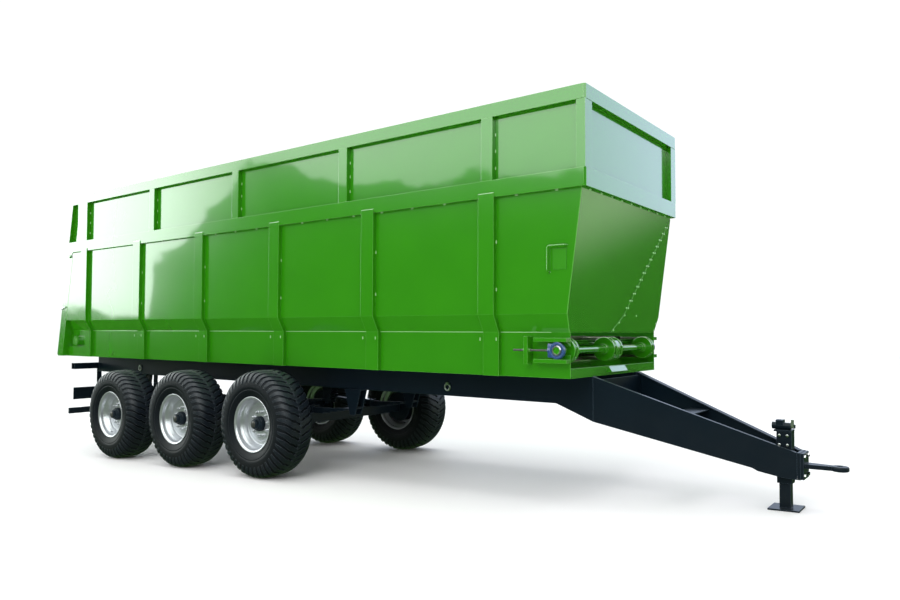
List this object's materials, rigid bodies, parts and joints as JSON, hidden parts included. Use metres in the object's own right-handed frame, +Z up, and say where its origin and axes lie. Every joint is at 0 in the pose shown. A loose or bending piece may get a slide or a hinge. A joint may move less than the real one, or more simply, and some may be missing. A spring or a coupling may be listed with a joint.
{
  "type": "grain cart",
  "caption": "Long grain cart with a ribbed steel hopper, V drawbar, slatted conveyor floor, swinging tailgate and parking jack.",
  "frame": {"origin": "bottom centre of the overall box, on the ground", "axes": "+X forward to the tow eye, +Y to the cart's left, +Z up; the cart stands nose down by 1.976 degrees on its parking jack"},
  "size_m": [11.3848, 2.99, 4.0412],
  "materials": {
    "body_green": "glossy green paint over steel sheet",
    "chassis_dark": "glossy blue-black paint over steel",
    "bearing_blue": "blue bearing housing paint",
    "zinc_steel": "zinc plated",
    "chain_steel": "plain steel polished by grain",
    "window_pane": "smoked sight pane",
    "motor_black": "satin black",
    "rim_silver": "silver paint",
    "tyre_rubber": "black rubber"
  },
  "bodies": {
    "chassis": {"top_rail": "body_green", "middle_rail": "body_green", "upper_panels": "body_green", "upper_posts": "body_green", "front_upper_panel": "body_green", "rear_upper_panel": "body_green", "lower_wall_right": "body_green", "lower_wall_left": "body_green", "lower_posts": "body_green", "front_lower_wall": "body_green", "front_corner_patch": "body_green", "window_guard": "body_green", "tailgate_hinges": "body_green", "front_cross_member": "body_green", "take_up_guides": "body_green", "floor_frame": "body_green", "floor_plate": "body_green", "chassis_beams": "chassis_dark", "drawbar_beams": "chassis_dark", "cross_members": "chassis_dark", "drawbar_head": "chassis_dark", "tow_eye": "chassis_dark", "jack_tube": "chassis_dark", "axles": "chassis_dark", "spring_hangers": "chassis_dark", "leaf_springs": "chassis_dark", "brake_gear": "chassis_dark", "rear_cross_tube": "chassis_dark", "underrun_bar": "chassis_dark", "lamp_carrier": "chassis_dark", "drive_gearbox": "chassis_dark", "rear_bearings": "chassis_dark", "coupling_bolts": "zinc_steel", "lashing_rings": "zinc_steel", "floor_chains": "chain_steel", "floor_slats": "chain_steel", "inspection_window": "window_pane", "hydraulic_motor": "motor_black"},
    "tailgate": {"tailgate": "body_green"},
    "tailgate_latch": {"tailgate_latches": "zinc_steel"},
    "jack_leg": {"jack_leg": "chassis_dark"},
    "jack_lever": {"jack_lever": "zinc_steel"},
    "take_up": {"take_up_bearings": "bearing_blue", "tension_rods": "zinc_steel", "chain_front_turns": "chain_steel"},
    "front_shaft": {"front_shaft": "body_green"},
    "rear_shaft": {"rear_shaft": "chain_steel"},
    "wheel_front_right": {"tyre_front_right": "tyre_rubber", "rim_front_right": "rim_silver"},
    "wheel_front_left": {"tyre_front_left": "tyre_rubber", "rim_front_left": "rim_silver"},
    "wheel_middle_right": {"tyre_middle_right": "tyre_rubber", "rim_middle_right": "rim_silver"},
    "wheel_middle_left": {"tyre_middle_left": "tyre_rubber", "rim_middle_left": "rim_silver"},
    "wheel_rear_right": {"tyre_rear_right": "tyre_rubber", "rim_rear_right": "rim_silver"},
    "wheel_rear_left": {"tyre_rear_left": "tyre_rubber", "rim_rear_left": "rim_silver"}
  },
  "joints": [
    {"name": "tailgate_swing", "type": "hinge", "parent": "chassis", "child": "tailgate", "pos_m": [-5.29164, 0, 3.0894], "axis": [0, 1, 0], "range_deg": [0, 74]},
    {"name": "latch_turn", "type": "hinge", "parent": "tailgate", "child": "tailgate_latch", "pos_m": [-5.47083, 0, 2.25308], "axis": [0, 1, 0], "range_deg": [-60, 0]},
    {"name": "jack_slide", "type": "slide", "parent": "chassis", "child": "jack_leg", "axis": [0.0345, 0, 0.9994], "range_m": [0, 0.2]},
    {"name": "jack_lever_turn", "type": "hinge", "parent": "chassis", "child": "jack_lever", "pos_m": [5.27945, 0, 0.70548], "axis": [0, 1, 0], "range_deg": [0, 85]},
    {"name": "take_up_slide", "type": "slide", "parent": "chassis", "child": "take_up", "axis": [0.9994, 0, -0.0345], "range_m": [0, 0.06]},
    {"name": "rear_shaft_spin", "type": "hinge", "parent": "chassis", "child": "rear_shaft", "pos_m": [-5.16922, 0, 1.70735], "axis": [0, 1, 0], "continuous": true},
    {"name": "front_shaft_spin", "type": "hinge", "parent": "take_up", "child": "front_shaft", "pos_m": [3.59557, 0, 1.40496], "axis": [0, 1, 0], "continuous": true},
    {"name": "wheel_front_right_spin", "type": "hinge", "parent": "chassis", "child": "wheel_front_right", "pos_m": [-0.17868, 0, 0.622], "axis": [0, 1, 0], "continuous": true},
    {"name": "wheel_front_left_spin", "type": "hinge", "parent": "chassis", "child": "wheel_front_left", "pos_m": [-0.17868, 0, 0.622], "axis": [0, 1, 0], "continuous": true},
    {"name": "wheel_middle_right_spin", "type": "hinge", "parent": "chassis", "child": "wheel_middle_right", "pos_m": [-1.76062, 0, 0.622], "axis": [0, 1, 0], "continuous": true},
    {"name": "wheel_middle_left_spin", "type": "hinge", "parent": "chassis", "child": "wheel_middle_left", "pos_m": [-1.76062, 0, 0.622], "axis": [0, 1, 0], "continuous": true},
    {"name": "wheel_rear_right_spin", "type": "hinge", "parent": "chassis", "child": "wheel_rear_right", "pos_m": [-3.34256, 0, 0.622], "axis": [0, 1, 0], "continuous": true},
    {"name": "wheel_rear_left_spin", "type": "hinge", "parent": "chassis", "child": "wheel_rear_left", "pos_m": [-3.34256, 0, 0.622], "axis": [0, 1, 0], "continuous": true}
  ],
  "couplings": [
    {"joint": "front_shaft_spin", "follows": "rear_shaft_spin", "ratio": 1}
  ]
}
